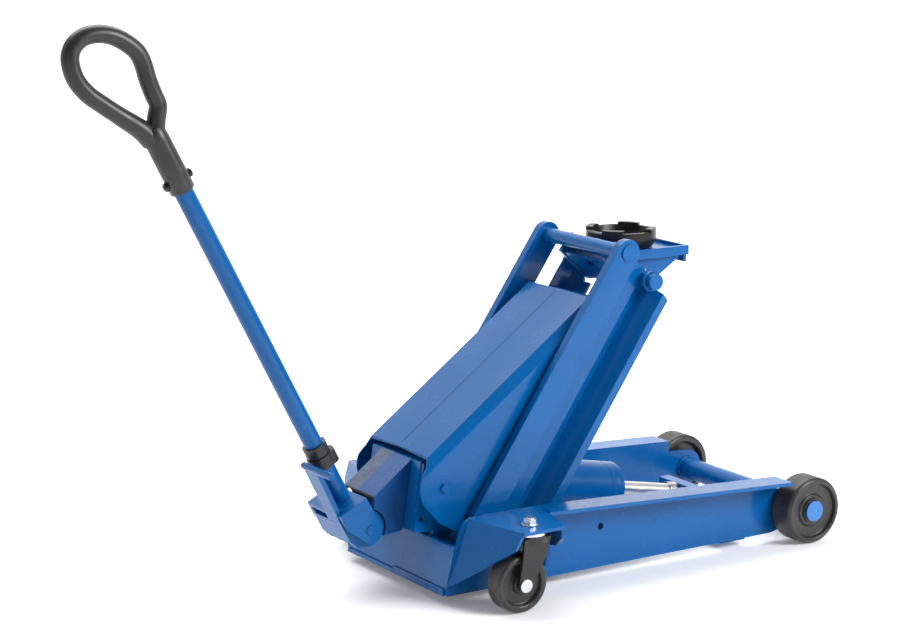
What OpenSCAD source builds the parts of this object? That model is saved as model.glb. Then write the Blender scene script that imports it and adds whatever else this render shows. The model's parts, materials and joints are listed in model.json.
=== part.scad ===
// Trolley jack with a raised lift arm, swivel casters and a hand and foot pump.
// Millimetres, +X forward, +Y to the left, +Z up, floor at z = 0.
// Inside every sub-part x is measured from the front axle; place() moves it to the part's own origin.

/* [Chassis] */
// Distance of the front axle ahead of the origin
front_axle_x = 677.2; // [600:0.1:760]
// Half of the clear width between the two side plates
plate_y = 163; // [160:1:170]
// Thickness of the side plates and their flanges
plate_t = 7; // [5:1:9]
// Half width over the outward flanges
flange_y = 216; // [205:1:225]
// Underside of the side plates above the floor
rail_bottom = 17; // [12:1:20]
// Top of the flange at its front end
rail_front_top = 125; // [118:1:130]
// Top of the flange at the caster wings
rail_rear_top = 152; // [148:1:158]
// Half width over the caster wings
wing_y = 296; // [290:1:305]

/* [Wheels] */
// Front wheel radius
front_wheel_r = 64; // [60:1:66]
// Front wheel width
front_wheel_w = 53; // [45:1:53]
// Radius of the front axle where the wheels run
axle_r = 20; // [16:1:20]
// Caster wheel radius
caster_wheel_r = 52; // [48:1:52]
// Caster wheel width
caster_wheel_w = 38; // [32:1:40]
// How far the caster wheel trails its swivel
caster_trail = 25.5; // [20:0.5:26]

/* [Lift] */
// Distance between the lift arm's two pivots
arm_len = 548; // [540:1:552]
// Angle of the lift arm above the horizontal, as drawn
arm_angle = 55.3; // [54:0.1:57]
// Radius of the four-bar pins
pin_r = 15.5; // [12:0.5:16]
// Width of a parallel link
link_w = 50; // [44:1:52]
// Thickness of a parallel link
link_t = 17; // [12:1:17]
// Saddle radius over the rim
saddle_r = 66; // [60:1:70]
// Height of the saddle over its seat
saddle_h = 38; // [34:1:42]

/* [Ram] */
// Outer radius of the ram cylinder
ram_r = 50; // [46:1:50]
// Radius of the chromed rod
rod_r = 14.5; // [12:0.5:16]

/* [Handle] */
// Angle of the handle behind the vertical, as drawn
handle_lean = 27.5; // [20:0.5:35]
// Outer radius of the handle tube
handle_r = 17; // [15:0.5:18]
// Radius of the grip's bar
grip_bar_r = 15.5; // [13:0.5:16]

/* [Hidden] */
$fn = 48;
eps = 0.01;
run_fit = 0.05;

wheel_in_y = 174.5;
wheel_out_y = wheel_in_y + front_wheel_w;
plate_out_y = plate_y + plate_t;

flange_front_x = -47;
wing_front_x = -595;
plate_rear_x = -745;
tail_x = -797;
nose_r = 36;

arm_pivot = [-631, 74];
arm_tip = arm_pivot + arm_len * [cos(arm_angle), sin(arm_angle)];
link_offset = [-61.5, 58.5];
link_low = arm_pivot + link_offset;
link_top = arm_tip + link_offset;
link_in_y = 117;
link_out_y = link_in_y + link_t;
stub_out_y = 138;
sheet_t = 6;
rear_flange_y = 104;
groove_y = 82;
front_flange_y = 131;

crank_r = 101;
crank_angle = arm_angle + 51.9;
crank = arm_pivot + crank_r * [cos(crank_angle), sin(crank_angle)];
crank_pin_r = 14;
ram_tilt = 10.77;
ram_gap = 0.6;
ram_len = 338;
ram_seam = 19;
ram_bore_r = 40;
ram_bore_depth = 190;
rod_end = 510;
anchor_x = -159;
anchor_w = 50;

seat_z = 570;
seat_t = 12;
saddle_x = -298;
carrier_y = 78;
carrier_t = 9;

cover_pivot = [-762, 196];
cover_rear = [-788, 251.6];
cover_front = [-440, 503];
cover_top_y = 95.7;
cover_y = 110;
cover_t = 2.5;
cover_bend = 17;

block_y = 50;
handle_pivot = [-883, 124.5];
cheek_in_y = 51;
cheek_t = 8;
pedal_in_y = 40;
lug_y = 18;

caster_x = -680.5;
caster_y = 256.5;
wing_t = 6;

// ---- shared helpers ----

// moves a sub-part from front-axle coordinates to the part's origin
module place() {
    translate([front_axle_x, 0, 0]) children();
}

// keeps a sub-part on the left for +1 and mirrors it to the right for -1
module on_side(side) {
    mirror([0, side < 0 ? 1 : 0, 0]) children();
}

// draws a sub-part on both sides
module both_sides() {
    for (side = [1, -1]) on_side(side) children();
}

// stands an (x, z) outline up between two y planes
module slab(y0, y1) {
    translate([0, y1, 0]) rotate([90, 0, 0]) linear_extrude(y1 - y0) children();
}

// round bar along Y at an (x, z) point
module bar_y(p, r, y0, y1) {
    translate([p[0], y0, p[1]]) rotate([-90, 0, 0]) cylinder(r = r, h = y1 - y0);
}

// frame whose x axis runs up the lift arm and whose z axis points to its rear face
module arm_frame() {
    translate([arm_pivot[0], 0, arm_pivot[1]]) rotate([0, -arm_angle, 0]) children();
}

// frame whose z axis runs up the handle from its pump pivot
module handle_frame() {
    translate([handle_pivot[0], 0, handle_pivot[1]]) rotate([0, -handle_lean, 0]) children();
}

// frame whose z axis runs from the crank pin down the ram towards the front
module ram_frame() {
    translate([crank[0], 0, crank[1]]) rotate([0, 90 + ram_tilt, 0]) children();
}

module side_outline() {
    difference() {
        union() {
            polygon([
                [tail_x + 3, rail_bottom], [-60, rail_bottom], [-6, 64 - nose_r + 1], [0, 64], [0, 64 + nose_r],
                [flange_front_x, 102], [flange_front_x, rail_front_top], [wing_front_x, rail_rear_top],
                [plate_rear_x, rail_rear_top], [-760, 145], [-766, 132], [-773, 107], [-780, 104],
                [tail_x, 34]
            ]);
            translate([0, 64]) circle(nose_r);
        }
        translate([0, 64]) circle(axle_r);
        translate(arm_pivot) circle(pin_r);
        translate(link_low) circle(pin_r - 3);
        translate([-463.5, 93]) circle(6.5);
    }
}

// flange bent outward along the sloping top edge, with a round bend
module flange() {
    slope = atan((rail_rear_top - rail_front_top) / (flange_front_x - wing_front_x));
    length = norm([flange_front_x - wing_front_x, rail_rear_top - rail_front_top]);
    intersection() {
        translate([flange_front_x, 0, rail_front_top]) rotate([0, slope, 0]) rotate([90, 0, -90])
            linear_extrude(length + 30) {
                translate([-flange_y, -plate_t]) square([flange_y - plate_out_y, plate_t]);
                translate([-plate_out_y, -plate_t]) square([plate_t, eps]);
            }
        linear_extrude(400) polygon([
            [0, plate_out_y - 1], [wing_front_x + 0.4, plate_out_y - 1],
            [wing_front_x - 13.8, flange_y + 1], [0, flange_y + 1]
        ]);
    }
}

module side_frame(side) {
    color([0.0, 0.33, 0.65]) place() on_side(side) {
        slab(plate_y, plate_out_y) side_outline();
        flange();
    }
}

module wing_top() {
    difference() {
        translate([0, 0, rail_rear_top - wing_t - 1]) linear_extrude(wing_t) polygon([
            [wing_front_x, plate_out_y], [-633, wing_y], [-719, wing_y], [-752, plate_out_y]
        ]);
        translate([caster_x, caster_y, 100]) cylinder(r = 8, h = 100);
    }
}

// sloping panel behind the caster, from the wing down to the tail of the side plate
module wing_rear_panel() {
    tilt = 20.4;
    translate([-752, plate_out_y, rail_rear_top - 1]) rotate([0, 0, 75.3]) rotate([90 + tilt, 0, 0])
        linear_extrude(wing_t) polygon([[0, 0], [130.2, 0], [120, -33.1], [-11.4, -124.8]]);
}

// upright panel ahead of the caster
module wing_front_panel() {
    run = [-633 - wing_front_x, wing_y - plate_out_y];
    turn = atan2(run[1], run[0]);
    width = norm(run);
    translate([wing_front_x, plate_out_y, 0]) rotate([0, 0, turn]) translate([0, wing_t, 0]) rotate([90, 0, 0])
        linear_extrude(wing_t) polygon([
            [1.9, rail_rear_top - 2], [width, rail_rear_top - 2], [width, 129], [width - 35, 106], [58, 98],
            [44, 60], [40, 52], [1.9, 52]
        ]);
}

module caster_wing(side) {
    color([0.0, 0.36, 0.7]) place() on_side(side) {
        wing_top();
        intersection() {
            wing_rear_panel();
            translate([-900, plate_out_y, 0]) cube([400, 200, 200]);
        }
        wing_front_panel();
    }
}

module rear_plate() {
    color([0.0, 0.33, 0.65]) place()
        slab(-plate_y, plate_y) polygon([
            [tail_x, 34], [-780, 104], [-773, 104], [tail_x + 7, 34], [tail_x + 7, 25], [tail_x, 25]
        ]);
}

module rear_foot_bar() {
    color([0.1, 0.4, 0.75]) place() {
        slab(-plate_y, plate_y) polygon([[tail_x - 4, 17], [tail_x + 9, 17], [tail_x + 9, 25], [tail_x - 4, 25]]);
        slab(-plate_y, 0) polygon([[tail_x - 4, 25], [tail_x, 25], [tail_x, 31], [tail_x - 4, 31]]);
    }
}

// block that holds the front end of the piston rod, on a plate across the chassis
module rod_anchor() {
    color([0.05, 0.3, 0.6]) place() {
        difference() {
            translate([anchor_x, -anchor_w, 20]) cube([24, 2 * anchor_w, 73]);
            ram_frame() translate([0, 0, rod_end - 20]) cylinder(r = 10, h = 60);
        }
        translate([anchor_x - 18, -plate_y, 12]) cube([60, 2 * plate_y, 8]);
    }
}

module front_axle() {
    color([0.05, 0.32, 0.65]) place() difference() {
        union() {
            bar_y([0, 64], axle_r, -wheel_out_y - 1, wheel_out_y + 1);
            bar_y([0, 64], axle_r + 1.5, -plate_y, plate_y);
        }
        both_sides() translate([0, wheel_out_y - 6, 64]) rotate([-90, 0, 0]) difference() {
            cylinder(r = axle_r + 2, h = 3);
            translate([0, 0, -1]) cylinder(r = axle_r - 1.5, h = 5);
        }
    }
}

module axle_rings() {
    color("silver") place() both_sides()
        translate([0, wheel_out_y - 6, 64]) rotate([-90, 0, 0]) difference() {
            cylinder(r = axle_r + 4, h = 3);
            translate([0, 0, -1]) cylinder(r = axle_r - 1.5, h = 5);
        }
}

// ---- wheels ----

// half section of a front wheel: x is the radius, y runs from the inner face to the outer face
module front_wheel_section() {
    rim = front_wheel_r;
    w = front_wheel_w;
    polygon([
        [axle_r + run_fit, 2], [axle_r + 9, 2], [axle_r + 10, 14], [rim - 17, 14], [rim - 13, 0], [rim - 4, 0], [rim, 4],
        [rim, w - 5], [rim - 5, w], [rim - 11, w], [rim - 13, w - 9], [axle_r + 12, w - 11], [axle_r + 10, w - 6.5],
        [axle_r + run_fit, w - 6.5]
    ]);
}

module front_wheel(side) {
    color([0.16, 0.16, 0.16]) place() on_side(side)
        translate([0, wheel_in_y, 64]) rotate([-90, 0, 0]) rotate_extrude() front_wheel_section();
}

module caster_wheel_section() {
    rim = caster_wheel_r;
    h = caster_wheel_w / 2;
    polygon([
        [8 + run_fit, -h], [17, -h], [18, -h + 9], [rim - 15, -h + 9], [rim - 12, -h + 1], [rim - 4, -h], [rim, -h + 4],
        [rim, h - 4], [rim - 4, h], [rim - 12, h - 1], [rim - 15, h - 9], [18, h - 9], [17, h], [8 + run_fit, h]
    ]);
}

module at_caster(side) {
    place() on_side(side) translate([caster_x, caster_y, 0]) children();
}

module caster_wheel(side) {
    color([0.14, 0.14, 0.14]) at_caster(side) translate([-caster_trail, 0, caster_wheel_r])
        rotate([-90, 0, 0]) rotate_extrude() caster_wheel_section();
}

module caster_axle(side) {
    color("silver") at_caster(side) {
        bar_y([-caster_trail, caster_wheel_r], 8, -27, 27);
        bar_y([-caster_trail, caster_wheel_r], 12, 27, 30);
        bar_y([-caster_trail, caster_wheel_r], 12, -30, -27);
    }
}

module caster_leg() {
    slab(22, 27) difference() {
        union() {
            polygon([
                [-28, 134], [27, 134], [16, 96], [-caster_trail + 13.5, 48], [-caster_trail - 13.5, 54], [-31, 100]
            ]);
            translate([-caster_trail, caster_wheel_r]) circle(14);
        }
        translate([-caster_trail, caster_wheel_r]) circle(8);
    }
}

module caster_fork(side) {
    color([0.13, 0.13, 0.14]) at_caster(side) {
        both_sides() caster_leg();
        difference() {
            translate([0, 0, 124]) cylinder(r = 33, h = 12);
            translate([0, 0, 120]) cylinder(r = 8 + run_fit, h = 20);
            translate([0, 0, 120]) cylinder(r = 20, h = 8);
        }
    }
}

module caster_bearing(side) {
    color("silver") at_caster(side) difference() {
        translate([0, 0, 136.4]) cylinder(r = 31, h = 8.6);
        translate([0, 0, 130]) cylinder(r = 8, h = 20);
    }
}

// threaded stem with its hexagonal head underneath, washer and nut on the wing
module caster_bolt(side) {
    color("silver") at_caster(side) {
        translate([0, 0, 123.8]) cylinder(r = 8, h = 41);
        translate([0, 0, 115.8]) cylinder(r = 13, h = 8, $fn = 6);
        translate([0, 0, 151]) cylinder(r = 15, h = 2.5);
        translate([0, 0, 153.5]) cylinder(r = 12.5, h = 9, $fn = 6);
    }
}

// ---- lift arm ----

// pressed side of the arm, seen along it: x is the height over the pin line, y the distance from the middle
module arm_section() {
    polygon([
        [38, rear_flange_y - sheet_t], [38, rear_flange_y], [12, rear_flange_y], [-10, groove_y + sheet_t],
        [-32, front_flange_y], [-48, front_flange_y], [-48, front_flange_y - sheet_t],
        [-36, front_flange_y - sheet_t], [-13, groove_y], [8, rear_flange_y - sheet_t]
    ]);
}

module arm_side(side) {
    color([0.0, 0.35, 0.68]) place() on_side(side) difference() {
        arm_frame() intersection() {
            rotate([90, 0, 90]) translate([0, 0, -20]) linear_extrude(arm_len + 48)
                rotate(90) mirror([0, 1]) arm_section();
            slab(0, 200) polygon([
                [-20, -60], [-20, 20], [4, 60], [arm_len - 14, 60], [arm_len + 17, 31], [arm_len + 20, 10],
                [arm_len + 8, -6], [arm_len - 6, -24], [arm_len - 16, -60]
            ]);
        }
        bar_y(arm_tip, pin_r, 0, 200);
        bar_y(arm_pivot, pin_r + 9, 0, 200);
    }
}

// plate that closes the arm's rear face under the carrier, with a stiffener inside each groove
module arm_rear_plate() {
    color([0.0, 0.3, 0.6]) place() arm_frame() {
        translate([arm_len - 130, -rear_flange_y + sheet_t, 20]) cube([66, 2 * (rear_flange_y - sheet_t), sheet_t]);
        both_sides() translate([440, anchor_w + 2, -12]) cube([78, groove_y - anchor_w - 2, 6]);
    }
}

// round bar across the arm's tip, which the carrier hangs on and which stands out of both grooves
module arm_tip_pin() {
    color([0.0, 0.36, 0.7]) place() bar_y(arm_tip, pin_r, -stub_out_y, stub_out_y);
}

module crank_outline() {
    difference() {
        union() {
            translate([0, 0]) circle(34);
            polygon([[-30, -16], [-30, 20], [38, 96], [84, 62], [110, 12], [110, -16]]);
            translate([62.3, 79.5]) circle(25);
        }
        circle(pin_r + run_fit);
        translate([62.3, 79.5]) circle(crank_pin_r);
    }
}

// inner cheeks that carry the pivot bushes and the crank pin
module crank_cheeks() {
    color([0.0, 0.34, 0.66]) place() arm_frame() both_sides() slab(70, groove_y) crank_outline();
}

module arm_shaft() {
    color([0.05, 0.35, 0.7]) place() {
        bar_y(arm_pivot, pin_r, -plate_out_y - 3, plate_out_y + 3);
    }
}

module crank_pin() {
    color("silver") place() bar_y(crank, crank_pin_r, -80, 80);
}

// ---- parallel links ----

module link_outline() {
    length = norm(link_top - link_low);
    difference() {
        union() {
            translate([0, -link_w / 2]) square([length, link_w]);
            circle(link_w / 2);
            translate([length, 0]) circle(link_w / 2);
        }
        circle(pin_r - 3 + run_fit);
        translate([length, 0]) circle(pin_r - 1.5);
    }
}

module link(side) {
    color([0.0, 0.35, 0.69]) place() on_side(side)
        translate([link_low[0], 0, link_low[1]]) rotate([0, -arm_angle, 0]) slab(link_in_y, link_out_y) link_outline();
}

module link_low_pins() {
    color([0.05, 0.35, 0.7]) place() both_sides() bar_y(link_low, pin_r - 3, link_in_y - 6, plate_out_y + 2);
}

module link_shaft() {
    color([0.0, 0.38, 0.74]) place() {
        bar_y(link_top, pin_r - 1.5, -link_out_y, link_out_y);
        both_sides() bar_y(link_top, pin_r, link_out_y, link_out_y + 3);
    }
}

// ---- carrier and saddle ----

module carrier_plate() {
    color([0.2, 0.5, 0.85]) place() difference() {
        translate([-352, -carrier_y, seat_z - seat_t]) cube([142, 2 * carrier_y, seat_t]);
        translate([saddle_x, 0, 500]) cylinder(r = 14 + run_fit, h = 100);
    }
}

// bars welded round the carrier plate
module carrier_rim() {
    color([0.0, 0.37, 0.72]) place() {
        both_sides() translate([-352, carrier_y, seat_z - seat_t]) cube([149, 7, 18]);
        translate([-210, -carrier_y, 544]) cube([7, 2 * carrier_y, 32]);
    }
}

module carrier_cheek_outline() {
    difference() {
        union() {
            polygon([
                [-216, seat_z - seat_t], [-216, 552], [-264, 522], [-304, 506], [-336, 508], [-396, 566], [-396, 600],
                [-364, 600], [-352, seat_z - seat_t]
            ]);
            translate(arm_tip) circle(24);
            translate(link_top) circle(22);
        }
        translate(arm_tip) circle(pin_r + run_fit);
        translate(link_top) circle(pin_r - 1.5 + run_fit);
        translate(link_top) rotate(138) translate([-7, -40]) square([60, 80]);
    }
}

module carrier_cheeks() {
    color([0.0, 0.35, 0.7]) place() both_sides() slab(carrier_y - carrier_t - 6, carrier_y - 6) carrier_cheek_outline();
}

// plate between the cheeks with a lightening hole
module carrier_web() {
    half = carrier_y - carrier_t - 6;
    color([0.0, 0.3, 0.6]) place() translate([-386, 0, 566]) rotate([0, -44, 0]) difference() {
        translate([-4, -half, -76]) cube([4.5, 2 * half, 68]);
        translate([-6, 0, -30]) rotate([0, 90, 0]) cylinder(r = 12, h = 9);
    }
}

module saddle_section() {
    polygon([
        [0, 0], [48, 0], [saddle_r - 7, 3], [saddle_r - 2, 11], [saddle_r, 20], [saddle_r, saddle_h - 7],
        [saddle_r - 2, saddle_h - 5], [saddle_r - 10, saddle_h - 5], [saddle_r - 15, 16], [40, 12], [0, 12]
    ]);
}

// cast dish with four raised lugs and a stem
module saddle() {
    color([0.1, 0.1, 0.1]) place() translate([saddle_x, 0, seat_z]) {
        rotate_extrude() saddle_section();
        translate([0, 0, -seat_t - 12]) cylinder(r = 14, h = seat_t + 13);
        intersection() {
            rotate_extrude() translate([saddle_r - 13, saddle_h - 18]) square([13, 18]);
            for (turn = [38, 128, 218, 308]) rotate(turn) translate([0, -20, 0]) cube([100, 40, 100]);
        }
    }
}

// ---- ram ----

module ram_cylinder() {
    color([0.0, 0.4, 0.75]) place() ram_frame() difference() {
        translate([0, 0, crank_pin_r + ram_gap + 28]) cylinder(r = ram_r, h = ram_len - 28 - ram_seam);
        translate([0, 0, crank_pin_r + ram_gap + ram_len - ram_seam - ram_bore_depth])
            cylinder(r = ram_bore_r, h = ram_bore_depth + 1);
    }
}

module ram_front_cap() {
    color([0.0, 0.4, 0.75]) place() ram_frame() translate([0, 0, crank_pin_r + ram_gap + ram_len - ram_seam])
        difference() {
            union() {
                cylinder(r = ram_r, h = ram_seam - 5);
                translate([0, 0, ram_seam - 5]) cylinder(r1 = ram_r, r2 = ram_r - 5, h = 5);
            }
            translate([0, 0, -1]) cylinder(r = rod_r + run_fit, h = ram_seam + 2);
        }
}

// solid end of the cylinder that pushes on the crank pin
module thrust_head() {
    color([0.0, 0.34, 0.66]) place() ram_frame() translate([0, 0, crank_pin_r + ram_gap]) cylinder(r = ram_r - 4, h = 28);
}

module piston_rod() {
    color([0.85, 0.85, 0.87]) place() ram_frame()
        translate([0, 0, crank_pin_r + ram_gap + ram_len - ram_seam - 34])
            cylinder(r = rod_r, h = rod_end - crank_pin_r - ram_gap - ram_len + ram_seam + 34 - 22);
}

module piston() {
    color("silver") place() ram_frame()
        translate([0, 0, crank_pin_r + ram_gap + ram_len - ram_seam - 60]) difference() {
            cylinder(r = ram_bore_r - run_fit, h = 26);
            translate([0, 0, 10]) difference() {
                cylinder(r = ram_bore_r + 1, h = 6);
                translate([0, 0, -1]) cylinder(r = ram_bore_r - 5, h = 8);
            }
        }
}

module piston_seal() {
    color([0.1, 0.1, 0.1]) place() ram_frame()
        translate([0, 0, crank_pin_r + ram_gap + ram_len - ram_seam - 50]) difference() {
            cylinder(r = ram_bore_r - run_fit, h = 6);
            translate([0, 0, -1]) cylinder(r = ram_bore_r - 5, h = 8);
        }
}

// plated nut and threaded end that fasten the rod to its anchor
module rod_nut() {
    color("silver") place() ram_frame() {
        translate([0, 0, rod_end - 22]) cylinder(r = rod_r + 3.5, h = 19);
        translate([0, 0, rod_end - 3]) cylinder(r = 10, h = 24);
    }
}

// ---- cover ----

module cover_side_outline() {
    difference() {
        union() {
            translate(cover_pivot) circle(50);
            polygon([
                cover_rear, [-795, 234], cover_pivot, [-802, 166], [-774, 134], [-738, 111], [-724, 116],
                cover_front + [-4, -14], cover_front
            ]);
        }
        translate(cover_pivot) circle(5 + run_fit);
    }
}

// folded sheet: ridged top, bevelled shoulders and two side skirts, open below
module cover_solid(inset) {
    h = cover_bend;
    rotate([90, 0, 90]) translate([0, 0, -160]) linear_extrude(1000) polygon([
        [-cover_y + inset, -500], [-cover_y + inset, -h], [-cover_top_y + inset * 0.4, -inset], [0, 2 - inset],
        [cover_top_y - inset * 0.4, -inset], [cover_y - inset, -h], [cover_y - inset, -500]
    ]);
}

module cover_frame() {
    run = cover_front - cover_rear;
    translate([cover_rear[0], 0, cover_rear[1]]) rotate([0, -atan2(run[1], run[0]), 0]) children();
}

module cover() {
    run = cover_front - cover_rear;
    color([0.35, 0.55, 0.85]) place() {
        intersection() {
            difference() {
                cover_frame() cover_solid(0);
                cover_frame() cover_solid(cover_t);
            }
            union() {
                slab(-200, 200) cover_side_outline();
                cover_frame() translate([0, -120, -5]) cube([norm(run), 240, 12]);
            }
        }
    }
}

module cover_screws() {
    color("silver") place() both_sides() {
        bar_y(cover_pivot, 5, 88, cover_y + 1);
        bar_y(cover_pivot, 8, cover_y + 1, cover_y + 5);
    }
}

// ---- pump ----

module pump_outline() {
    polygon([[-871, 182], [-792, 240], [-802.6, 182], [-812.5, 112], [-871, 105]]);
}

module pump_body() {
    color([0.0, 0.3, 0.6]) place() difference() {
        union() {
            slab(-block_y, 8) pump_outline();
            slab(8, block_y) polygon([[-871, 105], [-871, 160], [-806, 160], [-812.5, 112]]);
            slab(-lug_y, lug_y) union() {
                translate(handle_pivot) circle(19);
                translate([handle_pivot[0], 105.5]) square([20, 38]);
            }
        }
        bar_y(handle_pivot, 9, -60, 60);
        both_sides() bar_y(handle_pivot, 36, pedal_in_y - 1.5, block_y + 1);
        translate([-890, -24, 168]) rotate([0, 90, 0]) cylinder(r = 7 + run_fit, h = 60);
    }
}

module valve_block() {
    color([0.6, 0.65, 0.72]) place() difference() {
        slab(8, block_y) polygon([[-871, 160], [-871, 182], [-792, 240], [-802.6, 182], [-806, 160]]);
        translate([-890, 28, 170]) rotate([0, 90, 0]) cylinder(r = 8 + run_fit, h = 60);
    }
}

// cross plate that the pump is bolted to
module pump_flange() {
    color([0.0, 0.4, 0.78]) place() slab(-80, 80) polygon([[-792, 240], [-782, 240], [-801.2, 116], [-811.6, 116]]);
}

// plates that carry the pump flange and the cover screws, with brackets out to the side plates
module pump_cheeks() {
    color([0.0, 0.24, 0.48]) place() both_sides() difference() {
        union() {
            slab(80, 87) union() {
                polygon([[-790, 238], [-811, 116], [-772, 112], [-771, 80], [-739, 80], [-720, 180], [-735, 215]]);
                translate(cover_pivot) circle(30);
            }
            bar_y(cover_pivot, 14, 86, 105);
            translate([-771, 86, 80]) cube([32, plate_y - 86, 12]);
        }
        bar_y(cover_pivot, 5, 70, 120);
        bar_y([-796, 138], 4.5, 70, 100);
    }
}

module pump_plunger() {
    color("silver") place() translate([-876, -24, 168]) rotate([0, 90, 0]) cylinder(r = 7, h = 44);
}

module release_valve() {
    color("silver") place() translate([-879, 28, 170]) rotate([0, 90, 0]) {
        cylinder(r = 8, h = 44);
        cylinder(r = 11, h = 5, $fn = 6);
    }
}

// ---- handle ----

module yoke_cheek_outline() {
    difference() {
        union() {
            circle(23);
            polygon([[-39, 58], [-39, 28], [-20, -11], [0, -23], [23, 0], [20, 58]]);
        }
        circle(9 + run_fit);
    }
}

module handle_yoke() {
    color([0.1, 0.42, 0.8]) place() handle_frame() {
        both_sides() slab(cheek_in_y, cheek_in_y + cheek_t) yoke_cheek_outline();
        difference() {
            translate([-39, -cheek_in_y, 50]) cube([59, 2 * cheek_in_y, 8]);
            translate([-40, -49.5, 40]) cube([12, 48, 30]);
        }
        difference() {
            translate([0, 0, 58]) cylinder(r = handle_r, h = 100);
            translate([0, 0, 60]) cylinder(r = handle_r - 3.5, h = 120);
        }
    }
}

module yoke_pin() {
    color([0.1, 0.4, 0.75]) place() bar_y(handle_pivot, 9, -cheek_in_y - cheek_t - 2, cheek_in_y + cheek_t + 2);
}

module handle_tube() {
    color([0.0, 0.38, 0.75]) place() handle_frame() {
        difference() {
            translate([0, 0, 158.4]) cylinder(r = handle_r, h = 602);
            translate([0, 0, 158]) cylinder(r = handle_r - 3, h = 604);
        }
        translate([0, 0, 70]) cylinder(r = handle_r - 3.5 - run_fit, h = 88.4);
        difference() {
            translate([0, 0, 158.4]) cylinder(r = handle_r - 3, h = 40);
            translate([0, 0, 162]) cylinder(r = 8, h = 50);
        }
    }
}

// black collars that lock the handle in its socket
module lock_collar() {
    color([0.13, 0.13, 0.13]) place() handle_frame() difference() {
        union() {
            translate([0, 0, 155]) cylinder(r = handle_r + 5, h = 20);
            translate([0, 0, 131]) cylinder(r = handle_r + 7, h = 22);
            translate([0, 0, 152]) cylinder(r = handle_r + 3, h = 4);
            translate([13, -5, 129]) cylinder(r = 15, h = 25);
        }
        translate([0, 0, 128]) cylinder(r = handle_r + 0.3, h = 30.4);
        translate([0, 0, 158]) cylinder(r = handle_r, h = 40);
    }
}

// centre line of the grip's loop: x ahead of the handle axis, y along it from the pump pivot
loop_path = [[14, 828], [29, 848], [31, 869], [34, 896], [39, 921], [39, 943], [30, 965], [14, 988], [-7, 1004],
    [-32, 1012], [-55, 1007], [-70, 990], [-76, 960], [-70, 930], [-57, 903], [-38, 868], [-18, 832], [-6, 812]];

module grip_bar(a, b) {
    run = b - a;
    translate([a[0], 0, a[1]]) rotate([0, atan2(run[0], run[1]), 0]) cylinder(r = grip_bar_r, h = norm(run));
    translate([b[0], 0, b[1]]) sphere(grip_bar_r + 0.4);
}

module grip() {
    color([0.12, 0.12, 0.12]) place() handle_frame() {
        difference() {
            translate([0, 0, 702]) cylinder(r = handle_r + 5, h = 106);
            translate([0, 0, 700]) cylinder(r = handle_r, h = 60.4);
        }
        translate([0, 0, 806]) sphere(handle_r + 4);
        for (i = [0 : len(loop_path) - 2]) grip_bar(loop_path[i], loop_path[i + 1]);
        grip_bar([0, 806], loop_path[0]);
    }
}

module grip_screws() {
    color("silver") place() handle_frame() for (side = [1, -1]) translate([0, 0, 722]) rotate([0, 90 * side, 0])
        translate([0, 0, handle_r + 5]) {
            cylinder(r = 8, h = 5);
            translate([0, 0, 5]) cylinder(r = 5, h = 2);
        }
}

// ---- foot pedal ----

module pedal_ear_outline() {
    circle(33);
    polygon([[-41, 47], [-41, 0], [-34, -18], [-10, -31], [0, 0], [-30, 50]]);
}

// two ears on the pump pin, a strap between them and a flat bar up beside the handle
module pedal_arm() {
    color([0.3, 0.55, 0.85]) place() handle_frame() {
        both_sides() difference() {
            slab(pedal_in_y, pedal_in_y + 8) pedal_ear_outline();
            translate([0, 60, 0]) rotate([90, 0, 0]) cylinder(r = 9 + run_fit, h = 50);
        }
        slab(-pedal_in_y, pedal_in_y) polygon([[-41, 40], [-41, -5], [-34, -5], [-34, 40]]);
        difference() {
            slab(-pedal_in_y - 8, -4) polygon([[-41, 30], [-38, 152], [-30, 152], [-32, 30]]);
            bar_y([-34, 153], 6.5, -100, 5);
        }
    }
}

module pedal_bar() {
    color([0.3, 0.55, 0.85]) place() handle_frame() bar_y([-34, 153], 6.5, -96, 0);
}

// ---- nodes ----

side_frame(1);  // side_frame_left
side_frame(-1);  // side_frame_right
caster_wing(1);  // caster_wing_left
caster_wing(-1);  // caster_wing_right
rear_plate();
rear_foot_bar();
rod_anchor();
front_axle();
axle_rings();
front_wheel(1);  // front_wheel_left
front_wheel(-1);  // front_wheel_right
caster_bearing(1);  // caster_bearing_left
caster_fork(1);  // caster_fork_left
caster_wheel(1);  // caster_wheel_left
caster_axle(1);  // caster_axle_left
caster_bolt(1);  // caster_bolt_left
caster_bearing(-1);  // caster_bearing_right
caster_fork(-1);  // caster_fork_right
caster_wheel(-1);  // caster_wheel_right
caster_axle(-1);  // caster_axle_right
caster_bolt(-1);  // caster_bolt_right
arm_side(1);  // arm_side_left
arm_side(-1);  // arm_side_right
arm_rear_plate();
arm_tip_pin();
arm_shaft();
crank_cheeks();
crank_pin();
link(1);  // link_left
link(-1);  // link_right
link_low_pins();
link_shaft();
carrier_plate();
carrier_rim();
carrier_cheeks();
carrier_web();
saddle();
ram_cylinder();
ram_front_cap();
thrust_head();
piston_rod();
piston();
piston_seal();
rod_nut();
cover();
cover_screws();
pump_body();
valve_block();
pump_flange();
pump_cheeks();
pump_plunger();
release_valve();
handle_yoke();
yoke_pin();
handle_tube();
lock_collar();
grip();
grip_screws();
pedal_arm();
pedal_bar();
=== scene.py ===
# Trolley jack: looks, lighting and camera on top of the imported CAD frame. Metres, +X to the front wheels.
import json
import math

import bmesh
import bpy
from mathutils import Matrix, Vector

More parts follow.
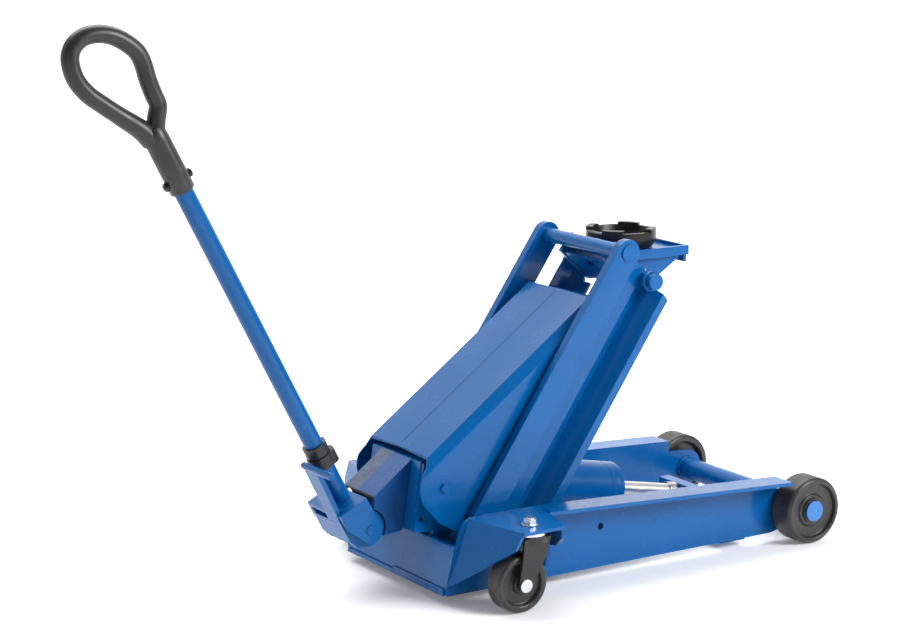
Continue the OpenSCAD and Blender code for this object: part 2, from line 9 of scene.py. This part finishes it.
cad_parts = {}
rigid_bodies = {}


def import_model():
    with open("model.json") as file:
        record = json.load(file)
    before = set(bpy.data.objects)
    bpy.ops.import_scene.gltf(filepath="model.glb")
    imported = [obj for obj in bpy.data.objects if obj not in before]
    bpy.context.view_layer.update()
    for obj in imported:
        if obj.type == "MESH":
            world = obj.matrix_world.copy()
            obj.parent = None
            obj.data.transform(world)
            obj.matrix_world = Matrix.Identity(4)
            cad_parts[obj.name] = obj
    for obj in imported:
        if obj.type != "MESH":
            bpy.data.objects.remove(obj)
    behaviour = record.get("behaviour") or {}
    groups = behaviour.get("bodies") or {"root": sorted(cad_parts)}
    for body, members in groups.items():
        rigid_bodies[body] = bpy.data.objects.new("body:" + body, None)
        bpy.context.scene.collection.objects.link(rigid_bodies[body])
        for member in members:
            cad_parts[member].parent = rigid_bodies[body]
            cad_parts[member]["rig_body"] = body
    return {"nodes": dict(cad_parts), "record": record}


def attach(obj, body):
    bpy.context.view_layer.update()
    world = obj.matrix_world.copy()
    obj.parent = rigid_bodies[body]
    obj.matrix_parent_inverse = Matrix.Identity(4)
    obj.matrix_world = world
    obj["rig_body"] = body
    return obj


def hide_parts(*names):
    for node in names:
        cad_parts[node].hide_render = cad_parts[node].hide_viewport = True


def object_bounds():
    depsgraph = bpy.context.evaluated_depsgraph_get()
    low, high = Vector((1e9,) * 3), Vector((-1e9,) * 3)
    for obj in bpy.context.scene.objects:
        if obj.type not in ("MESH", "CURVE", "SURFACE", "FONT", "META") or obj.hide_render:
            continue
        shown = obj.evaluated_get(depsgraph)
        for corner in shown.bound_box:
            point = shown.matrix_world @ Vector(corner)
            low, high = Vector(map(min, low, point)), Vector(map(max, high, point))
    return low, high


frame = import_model()
cad_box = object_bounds()
X0 = 0.6772  # front axle, where the lengths below start
WHEEL_R = 0.064
CASTER_X, CASTER_R = -0.706, 0.052
SIDE_HOLE = (X0 - 0.4635, 0.093)  # x and z of the hole in each side plate
ARM_TIP = (X0 - 0.319, 0.5245)
LEAN = math.radians(27.5)  # of the handle
PUMP_PIVOT = Vector((X0 - 0.883, 0, 0.1245))


# ---------------------------------------------------------------- materials

class Nodes:
    """A small helper that wires one material's nodes."""

    def __init__(self, name):
        self.mat = bpy.data.materials.new(name)
        self.mat.use_nodes = True
        self.t = self.mat.node_tree
        self.bsdf = self.t.nodes["Principled BSDF"]
        self.coord = self.t.nodes.new("ShaderNodeTexCoord").outputs["Object"]

    def set(self, **values):
        for k, v in values.items():
            self.bsdf.inputs[k.replace("_", " ")].default_value = v
        return self

    def noise(self, scale, detail=3.0, rough=0.5, stretch=None):
        n = self.t.nodes.new("ShaderNodeTexNoise")
        n.inputs["Scale"].default_value = scale
        n.inputs["Detail"].default_value = detail
        n.inputs["Roughness"].default_value = rough
        source = self.coord
        if stretch:
            m = self.t.nodes.new("ShaderNodeMapping")
            m.inputs["Scale"].default_value = stretch
            self.t.links.new(source, m.inputs["Vector"])
            source = m.outputs["Vector"]
        self.t.links.new(source, n.inputs["Vector"])
        return n.outputs["Fac"]

    def ramp(self, fac, stops):
        r = self.t.nodes.new("ShaderNodeValToRGB")
        e = r.color_ramp.elements
        while len(e) < len(stops):
            e.new(0.5)
        for el, (p, c) in zip(e, stops):
            el.position = p
            el.color = (*c, 1) if len(c) == 3 else c
        self.t.links.new(fac, r.inputs["Fac"])
        return r.outputs["Color"]

    def grey(self, fac, lo, hi, a=0.3, b=0.7):
        m = self.t.nodes.new("ShaderNodeMapRange")
        m.inputs["From Min"].default_value = a
        m.inputs["From Max"].default_value = b
        m.inputs["To Min"].default_value = lo
        m.inputs["To Max"].default_value = hi
        self.t.links.new(fac, m.inputs["Value"])
        return m.outputs["Result"]

    def mix(self, fac, a, b):
        m = self.t.nodes.new("ShaderNodeMix")
        m.data_type = "RGBA"
        for socket, v in ((m.inputs[0], fac), (m.inputs[6], a), (m.inputs[7], b)):
            if hasattr(v, "is_linked"):
                self.t.links.new(v, socket)
            else:
                socket.default_value = v if isinstance(v, float) else (*v, 1)
        return m.outputs[2]

    def edge(self, lo=0.53, hi=0.6):
        g = self.t.nodes.new("ShaderNodeNewGeometry")
        return self.grey(g.outputs["Pointiness"], 0.0, 1.0, lo, hi)

    def times(self, a, b):
        m = self.t.nodes.new("ShaderNodeMath")
        m.operation = "MULTIPLY"
        self.t.links.new(a, m.inputs[0])
        self.t.links.new(b, m.inputs[1])
        return m.outputs[0]

    def to(self, socket, out):
        self.t.links.new(out, self.bsdf.inputs[socket])
        return self

    def bump(self, height, strength, distance=0.0005, under=None):
        b = self.t.nodes.new("ShaderNodeBump")
        b.inputs["Strength"].default_value = strength
        b.inputs["Distance"].default_value = distance
        self.t.links.new(height, b.inputs["Height"])
        if under is not None:
            self.t.links.new(under, b.inputs["Normal"])
        self.t.links.new(b.outputs["Normal"], self.bsdf.inputs["Normal"])
        return b.outputs["Normal"]


def paint_material(name, base, dark, rough=(0.2, 0.3), peel=0.035, wear=0.35, coat=0.6):
    """Sprayed gloss paint: a little uneven in shade, a faint orange peel, and thin at the edges."""
    m = Nodes(name)
    body = m.ramp(m.noise(7.0, 4.0), [(0.3, dark), (0.7, base)])
    thin = tuple(min(1.0, 0.8 * c + 0.07) for c in base)
    edge = m.times(m.edge(0.53, 0.62), m.grey(m.noise(60.0, 5.0), 0.0, wear, 0.5, 0.7))
    m.to("Base Color", m.mix(edge, body, thin))
    m.to("Roughness", m.grey(m.noise(18.0, 5.0), rough[0], rough[1]))
    fine = m.bump(m.noise(1100.0, 2.0), peel, 0.0004)
    m.bump(m.noise(30.0, 2.0), 0.012, 0.001, under=fine)
    m.set(Metallic=0.0, Specular_IOR_Level=0.22, Coat_Weight=coat, Coat_Roughness=0.08)
    return m.mat


def cast_material(name, base, dark, rough=(0.4, 0.6), grain=0.5, scale=420.0, spec=0.5):
    """A painted or blackened casting: sandy skin with soft hollows."""
    m = Nodes(name)
    body = m.ramp(m.noise(25.0, 6.0, 0.6), [(0.3, dark), (0.7, base)])
    m.to("Base Color", m.mix(m.times(m.edge(0.53, 0.6), m.noise(150.0, 4.0)), body,
                             tuple(min(1.0, 1.5 * c + 0.02) for c in base)))
    m.to("Roughness", m.grey(m.noise(60.0, 4.0), rough[0], rough[1]))
    fine = m.bump(m.noise(scale, 6.0, 0.65), grain, 0.0007)
    m.bump(m.noise(70.0, 3.0), 0.25, 0.002, under=fine)
    m.set(Specular_IOR_Level=spec)
    return m.mat


def metal_material(name, base, dark, rough=(0.2, 0.35), grain=0.08, scale=900.0, stretch=None):
    """Plated or bare steel."""
    m = Nodes(name)
    m.to("Base Color", m.ramp(m.noise(40.0, 5.0), [(0.3, dark), (0.7, base)]))
    m.to("Roughness", m.grey(m.noise(90.0, 4.0), rough[0], rough[1]))
    m.bump(m.noise(scale, 3.0, 0.5, stretch), grain, 0.0002)
    m.set(Metallic=1.0)
    return m.mat


def plastic_material(name, base, dark, rough=(0.35, 0.5), grain=0.12, scale=1500.0, coat=0.0, spec=0.5):
    """Moulded nylon, rubber or plastic with a fine satin skin."""
    m = Nodes(name)
    body = m.ramp(m.noise(30.0, 5.0, 0.6), [(0.3, dark), (0.7, base)])
    scuff = m.times(m.grey(m.noise(180.0, 6.0, 0.7), 0.0, 0.3, 0.55, 0.75), m.noise(9.0, 3.0))
    m.to("Base Color", m.mix(scuff, body, tuple(min(1.0, c * 1.8 + 0.02) for c in base)))
    m.to("Roughness", m.grey(m.noise(70.0, 5.0), rough[0], rough[1]))
    m.bump(m.noise(scale, 3.0), grain, 0.0002)
    m.set(Coat_Weight=coat, Coat_Roughness=0.2, Specular_IOR_Level=spec)
    return m.mat


BLUE = paint_material("blue_gloss_paint", (0.0, 0.104, 0.342), (0.0, 0.09, 0.3),
                      wear=0.08, coat=0.18)
# painted shade: a near-black blue for seams, creases and dark recesses, standing in for the shadow in them
SEAM_SHADOW = paint_material("blue_seam_shadow", (0.0, 0.03, 0.1), (0.0, 0.02, 0.07),
                      (0.4, 0.5), 0.05, 0.05, 0.1)
BLUE_FACE = paint_material("axle_end_paint", (0.05, 0.2, 0.52), (0.03, 0.16, 0.44),
                           (0.3, 0.42), 0.06, 0.5, 0.3)
BLUE_CAST = cast_material("blue_painted_casting", (0.0, 0.072, 0.262), (0.0, 0.045, 0.18),
                          (0.28, 0.42), 0.55, spec=0.3)
GREY_CAST = cast_material("worn_grey_blue_casting", (0.05, 0.09, 0.17), (0.015, 0.035, 0.1),
                          (0.4, 0.6), 0.7, 260.0)
WHEEL = plastic_material("black_nylon", (0.03, 0.029, 0.028), (0.016, 0.016, 0.016),
                         (0.3, 0.44), coat=0.08)
TREAD = plastic_material("dark_tread", (0.05, 0.046, 0.042), (0.018, 0.017, 0.016),
                         (0.35, 0.6), 0.35, 500.0)
GRIP = plastic_material("black_grip_skin", (0.026, 0.026, 0.026), (0.014, 0.014, 0.014),
                        (0.3, 0.42), 0.2, 800.0)
FORK = paint_material("black_gloss_paint", (0.022, 0.022, 0.023), (0.012, 0.012, 0.012),
                      (0.22, 0.34), 0.05, 0.25, 0.4)
SADDLE = cast_material("blackened_casting", (0.02, 0.019, 0.018), (0.007, 0.007, 0.007),
                       (0.25, 0.42), 0.4, spec=0.3)
ZINC = metal_material("zinc_plate", (0.75, 0.76, 0.78), (0.55, 0.56, 0.58))
CHROME = metal_material("chrome_rod", (0.82, 0.8, 0.78), (0.66, 0.63, 0.6), (0.3, 0.38), 0.05)
RUBBER = plastic_material("seal_rubber", (0.02, 0.02, 0.02), (0.012, 0.012, 0.012), (0.6, 0.75))
# painted shade: near-black, standing in for the shadow inside a gap
HOLE = plastic_material("shadowed_bore", (0.004, 0.004, 0.005), (0.002, 0.002, 0.003),
                        (0.8, 0.9), 0.05)


# ---------------------------------------------------------------- helpers

def finish_mesh(name, bm, material, body, smooth_deg=50.0, weighted=False):
    """Makes an object of a bmesh, shades it smooth below an angle and puts it on its body."""
    for f in bm.faces:
        f.smooth = True
    bm.normal_update()
    for e in bm.edges:
        if len(e.link_faces) == 2:
            e.smooth = e.calc_face_angle(0.0) < math.radians(smooth_deg)
        else:
            e.smooth = False
    mesh = bpy.data.meshes.new(name)
    bm.to_mesh(mesh)
    bm.free()
    ob = bpy.data.objects.new(name, mesh)
    bpy.context.scene.collection.objects.link(ob)
    for mat in (material if isinstance(material, (list, tuple)) else [material]):
        mesh.materials.append(mat)
    if weighted:
        w = ob.modifiers.new("flat_faces", "WEIGHTED_NORMAL")
        w.keep_sharp = True
        w.weight = 100
    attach(ob, body)
    return ob


def refined(node, material, width=0.0012, segments=2, min_deg=28.0, pick=None):
    """A copy of a CAD node with rolled edges, which stands for it. pick chooses a material per face."""
    src = frame["nodes"][node]
    bm = bmesh.new()
    bm.from_mesh(src.data)
    bmesh.ops.remove_doubles(bm, verts=bm.verts, dist=1e-5)
    bmesh.ops.dissolve_limit(bm, angle_limit=math.radians(0.6), verts=bm.verts, edges=bm.edges)
    sharp = [e for e in bm.edges if len(e.link_faces) == 2 and e.calc_face_angle(0.0) > math.radians(min_deg)]
    if width > 0 and sharp:
        bmesh.ops.bevel(bm, geom=sharp, offset=width, offset_type="OFFSET", segments=segments, profile=0.6,
                        affect="EDGES", clamp_overlap=True)
    big = [f for f in bm.faces if len(f.verts) > 4]
    bmesh.ops.triangulate(bm, faces=big)
    if pick:
        for f in bm.faces:
            f.material_index = pick(f.calc_center_median(), f.normal)
    ob = finish_mesh(node + "_look", bm, material, src["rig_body"], weighted=True)
    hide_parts(node)
    return ob


SLOT = {s["node"]: s["material_slot"] for s in frame["record"]["subparts"]}
LOOK = {"blue_paint": BLUE, "blue_casting": BLUE_CAST, "zinc": ZINC, "chrome_rod": CHROME,
        "black_paint": FORK, "cast_black": SADDLE, "black_grip": GRIP, "seal_rubber": RUBBER}
WIDTH = {"zinc": 0.0006, "chrome_rod": 0.0006, "seal_rubber": 0.0004, "cast_black": 0.0015}

# nodes with a look of their own further down
APART = {"grip", "front_axle", "valve_block", "cover_screws"} | {n for n in frame["nodes"] if "wheel" in n}

for node in sorted(set(frame["nodes"]) - APART):
    s = SLOT[node]
    refined(node, LOOK[s], WIDTH.get(s, 0.001))


def rolling_wheel(node, x, radius):
    """A wheel with a rolled rim, dusty on its tread and satin on its faces."""
    def tread_or_face(c, n):
        return 1 if math.hypot(c.x - X0 - x, c.z - radius) > radius - 0.0015 and abs(n.y) < 0.3 else 0

    refined(node, [WHEEL, TREAD], 0.0022, 3, pick=tread_or_face)


for side in ("left", "right"):
    rolling_wheel("front_wheel_" + side, 0.0, WHEEL_R)
for side in ("left", "right"):
    rolling_wheel("caster_wheel_" + side, CASTER_X, CASTER_R)
refined("valve_block", GREY_CAST, 0.0015)
refined("cover_screws", BLUE, 0.0008)
refined("front_axle", [BLUE, BLUE_FACE], 0.001,
        pick=lambda c, n: 1 if abs(c.y) > 0.2265 and abs(n.y) > 0.9 else 0)


# ---------------------------------------------------------------- handle grip and weld beads

def handle_point(t, s, y=0.0):
    """A point of the handle: t ahead of its axis, s along it from the pump pivot, in mm."""
    ahead = Vector((math.cos(LEAN), 0, math.sin(LEAN)))
    along = Vector((-math.sin(LEAN), 0, math.cos(LEAN)))
    return PUMP_PIVOT + ahead * (t / 1000) + along * (s / 1000) + Vector((0, y / 1000, 0))


def smooth_path(points, steps):
    """A Catmull-Rom curve through the points."""
    pts = [Vector(p) for p in points]
    pts = [2 * pts[0] - pts[1]] + pts + [2 * pts[-1] - pts[-2]]
    out = []
    for i in range(1, len(pts) - 2):
        a, b, c, d = pts[i - 1:i + 3]
        for k in range(steps):
            u = k / steps
            out.append(0.5 * (2 * b + (c - a) * u + (2 * a - 5 * b + 4 * c - d) * u * u
                              + (3 * b - a - 3 * c + d) * u ** 3))
    out.append(pts[-2])
    return out


def sweep(bm, path, radius, sides=20, closed=False, caps=True, wobble=0.0):
    """Sweeps a round section along a path; radius is a number or a function of 0..1."""
    n = len(path)
    rings = []
    normal = None
    for i, p in enumerate(path):
        nxt = path[(i + 1) % n] if closed else path[min(i + 1, n - 1)]
        prv = path[(i - 1) % n] if closed else path[max(i - 1, 0)]
        tangent = (nxt - prv).normalized()
        if normal is None:
            normal = tangent.orthogonal().normalized()
        normal = (normal - tangent * normal.dot(tangent)).normalized()
        side = tangent.cross(normal)
        r = radius(i / (n - 1)) if callable(radius) else radius
        r *= 1 + wobble * (math.sin(i * 1.9) + 0.6 * math.sin(i * 3.7 + 1.1))
        rings.append([bm.verts.new(p + (normal * math.cos(a) + side * math.sin(a)) * r)
                      for a in (2 * math.pi * k / sides for k in range(sides))])
    pairs = [(rings[i], rings[i + 1]) for i in range(n - 1)] + ([(rings[-1], rings[0])] if closed else [])
    for a, b in pairs:
        for k in range(sides):
            j = (k + 1) % sides
            bm.faces.new((a[k], a[j], b[j], b[k]))
    if caps and not closed:
        bm.faces.new(list(reversed(rings[0])))
        bm.faces.new(rings[-1])


def bead(name, path, radius, body, closed=False, material=None):
    """A weld bead: an uneven small tube."""
    bm = bmesh.new()
    sweep(bm, path, radius, 8, closed, True, 0.12)
    bmesh.ops.recalc_face_normals(bm, faces=bm.faces)
    ob = finish_mesh(name, bm, material or BLUE, body)
    return ob


def circle_path(centre, radius, axis, count=40, start=0.0, end=360.0):
    axis = Vector(axis).normalized()
    a = axis.orthogonal().normalized()
    b = axis.cross(a)
    full = abs(end - start) >= 360
    steps = count if full else count + 1
    return [Vector(centre) + (a * math.cos(math.radians(start + (end - start) * k / count))
                              + b * math.sin(math.radians(start + (end - start) * k / count))) * radius
            for k in range(steps)]


# the ring's middle line: ahead of the handle's axis and along it, in mm
LOOP = [(-4, 800), (14, 828), (29, 848), (31, 869), (34, 896), (39, 921), (39, 943), (30, 965),
        (14, 988), (-7, 1004), (-32, 1012), (-55, 1007), (-70, 990), (-76, 960), (-70, 930),
        (-57, 903), (-38, 868), (-18, 832), (-8, 805)]
GRIP_R = 0.0154
bm = bmesh.new()
loop = smooth_path([handle_point(t, s) for t, s in LOOP], 6)
sweep(bm, loop, lambda u: GRIP_R + 0.0012 * max(0.0, 1 - u * 9) + 0.0035 * max(0.0, 1 - (1 - u) * 8), 28)
# the sleeve under the ring: along the handle's axis and its radius, in mm
sleeve = [(702, 0.0), (702, 19.5), (702.6, 21.2), (704, 22.0), (740, 22.0), (800, 21.8),
          (812, 21.0), (822, 18.5), (828, 14.0), (830, 0.0)]
rings = []
for s, r in sleeve:
    r = max(r, 0.05)
    rings.append([bm.verts.new(handle_point(r * math.cos(a), s, r * math.sin(a)))
                  for a in (2 * math.pi * k / 40 for k in range(40))])
for a, b in zip(rings, rings[1:]):
    for k in range(40):
        bm.faces.new((a[k], a[(k + 1) % 40], b[(k + 1) % 40], b[k]))
bmesh.ops.recalc_face_normals(bm, faces=bm.faces)
grip = finish_mesh("grip_look", bm, GRIP, "handle", 60.0)
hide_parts("grip")

# painted shade: a thin dark line along the crease down the middle of the cover
A, B = Vector((X0 - 0.788, 0, 0.2516)), Vector((X0 - 0.440, 0, 0.503))
lift = (B - A).cross(Vector((0, 1, 0))).normalized() * -0.0019
lift = lift if lift.z > 0 else -lift
bead("cover_crease_shade", [A.lerp(B, t) + lift for t in (0.02, 0.5, 0.985)], 0.00055, "cover", material=SEAM_SHADOW)

# painted shade: a dark tube in the gap behind the pump block, standing in for its shadow
gap = [Vector((X0 - 0.8711, y, 0.1785)) for y in (-0.0485, -0.02, 0.02, 0.0485)]
bead("pump_rear_gap_shadow", gap, 0.0026, "chassis", material=HOLE)

# painted shade: a thin dark ring in the seam of the ram's front cap
ram_axis = Vector((0.9824, 0, -0.1869))
seam_at = Vector((X0 - 0.6609, 0, 0.1705)) + ram_axis * 0.3195
bead("ram_seam", circle_path(seam_at, 0.0499, ram_axis, 64), 0.0005, "ram", True, SEAM_SHADOW)

# painted shade: a dark sheet closing the underside of the bay, standing in for the shade inside it
bm = bmesh.new()
shade_plate_at = Matrix.Translation((X0 - 0.655, 0, 0.0195))
bmesh.ops.create_cube(bm, size=1.0, matrix=shade_plate_at @ Matrix.Diagonal((0.25, 0.296, 0.002, 1)))
shade_plate = finish_mesh("bay_shade_plate", bm, SEAM_SHADOW, "chassis")
# painted shadow: a dark disc behind the hole in each side plate, standing in for the shade seen through it
for side, name in ((1, "left"), (-1, "right")):
    bm = bmesh.new()
    shadow_disc_at = Matrix.Translation((SIDE_HOLE[0], side * 0.1622, SIDE_HOLE[1]))
    bmesh.ops.create_cone(bm, cap_ends=True, segments=32, radius1=0.0085, radius2=0.0085, depth=0.001,
                          matrix=shadow_disc_at @ Matrix.Rotation(math.pi / 2, 4, "X"))
    shadow_disc = finish_mesh("side_hole_shadow_" + name, bm, SEAM_SHADOW, "chassis")

for side, name in ((1, "left"), (-1, "right")):
    bead("boss_weld_" + name, circle_path((ARM_TIP[0], side * 0.1225, ARM_TIP[1]), 0.0172, (0, 1, 0)), 0.0028,
         "lift_arm", True)
    bead("axle_weld_" + name, circle_path((X0, side * 0.1615, WHEEL_R), 0.0222, (0, 1, 0)), 0.003,
         "chassis", True)


# ---------------------------------------------------------------- floor, light, camera

AZ, EL = math.radians(-32.89), math.radians(11.29)  # of the camera
floor_mat = Nodes("pale_floor")
shade = [(0.3, (0.88, 0.88, 0.88)), (0.7, (0.9, 0.9, 0.9))]
floor_mat.to("Base Color", floor_mat.ramp(floor_mat.noise(0.6, 2.0), shade))
floor_mat.set(Roughness=0.8, Specular_IOR_Level=0.15, Emission_Color=(1, 1, 1, 1))
# glow: the floor gives off light of its own, faintly near the jack and strongly far behind it
depth = floor_mat.t.nodes.new("ShaderNodeSeparateXYZ")
floor_mat.t.links.new(floor_mat.coord, depth.inputs[0])
floor_mat.to("Emission Strength", floor_mat.grey(depth.outputs["Y"], 0.14, 0.9, 0.3, 2.6))
# the floor, which curves up into the backdrop: distance behind the jack and height
profile = [(-12.0, 0.0), (-3.0, 0.0), (0.0, 0.0), (3.0, 0.0)]
profile += [(8.0 + 2.0 * math.sin(math.radians(d)), 2.0 - 2.0 * math.cos(math.radians(d)))
            for d in range(0, 91, 6)]
profile += [(10.0, 9.0)]
bm = bmesh.new()
rows = [[bm.verts.new((x, y, z)) for x in (-12.0, 0.0, 12.0)] for y, z in profile]
for a, b in zip(rows, rows[1:]):
    for k in range(2):
        bm.faces.new((a[k], a[k + 1], b[k + 1], b[k])).smooth = True
floor_mesh = bpy.data.meshes.new("floor")
bm.to_mesh(floor_mesh)
bm.free()
floor = bpy.data.objects.new("floor", floor_mesh)
floor.rotation_euler.z = AZ
floor.location.z = cad_box[0][2] - 0.0002
floor_mesh.materials.append(floor_mat.mat)
bpy.context.scene.collection.objects.link(floor)

world = bpy.data.worlds.new("studio")
bpy.context.scene.world = world
world.use_nodes = True
wt = world.node_tree
background = wt.nodes["Background"]
background.inputs["Strength"].default_value = 1.0
way = wt.nodes.new("ShaderNodeSeparateXYZ")
wt.links.new(wt.nodes.new("ShaderNodeTexCoord").outputs["Generated"], way.inputs[0])
sky = wt.nodes.new("ShaderNodeValToRGB")
sky.color_ramp.elements[0].position = 0.25
sky.color_ramp.elements[0].color = (0.16, 0.16, 0.17, 1)
sky.color_ramp.elements[1].position = 0.85
sky.color_ramp.elements[1].color = (0.85, 0.85, 0.85, 1)
span = wt.nodes.new("ShaderNodeMapRange")
span.inputs["From Min"].default_value = -1.0
wt.links.new(way.outputs["Y"], span.inputs["Value"])
wt.links.new(span.outputs["Result"], sky.inputs["Fac"])
wt.links.new(sky.outputs["Color"], background.inputs["Color"])


def softbox(name, at, look, size, power):
    light = bpy.data.lights.new(name, "AREA")
    light.shape = "RECTANGLE"
    light.size, light.size_y = size
    light.energy = power
    ob = bpy.data.objects.new(name, light)
    ob.location = at
    ob.rotation_euler = (Vector(look) - Vector(at)).to_track_quat("-Z", "Y").to_euler()
    bpy.context.scene.collection.objects.link(ob)
    return ob


softbox("key_front_right", (1.7, -2.7, 2.1), (0.0, 0, 0.3), (1.6, 1.6), 128)
softbox("overhead", (0.2, 1.6, 3.4), (0, 0.5, 0.0), (4.0, 2.6), 135)
softbox("fill_left", (-3.4, -2.2, 1.0), (0.0, 0, 0.3), (1.2, 1.2), 4)

back = Vector((math.sin(AZ) * math.cos(EL), -math.cos(AZ) * math.cos(EL), math.sin(EL)))
right = Vector((math.cos(AZ), math.sin(AZ), 0))
up = back.cross(right)
cam = bpy.data.cameras.new("camera")
cam.lens = 96.6
cam.sensor_width = 36.0
cam.clip_end = 60.0
cam_ob = bpy.data.objects.new("camera", cam)
cam_ob.matrix_world = Matrix.Translation((X0 - 2.9911, -3.5751, 1.3204)) @ Matrix(
    ((right.x, up.x, back.x, 0), (right.y, up.y, back.y, 0), (right.z, up.z, back.z, 0), (0, 0, 0, 1)))
bpy.context.scene.collection.objects.link(cam_ob)
bpy.context.scene.camera = cam_ob
bpy.context.scene.view_settings.view_transform = "Standard"
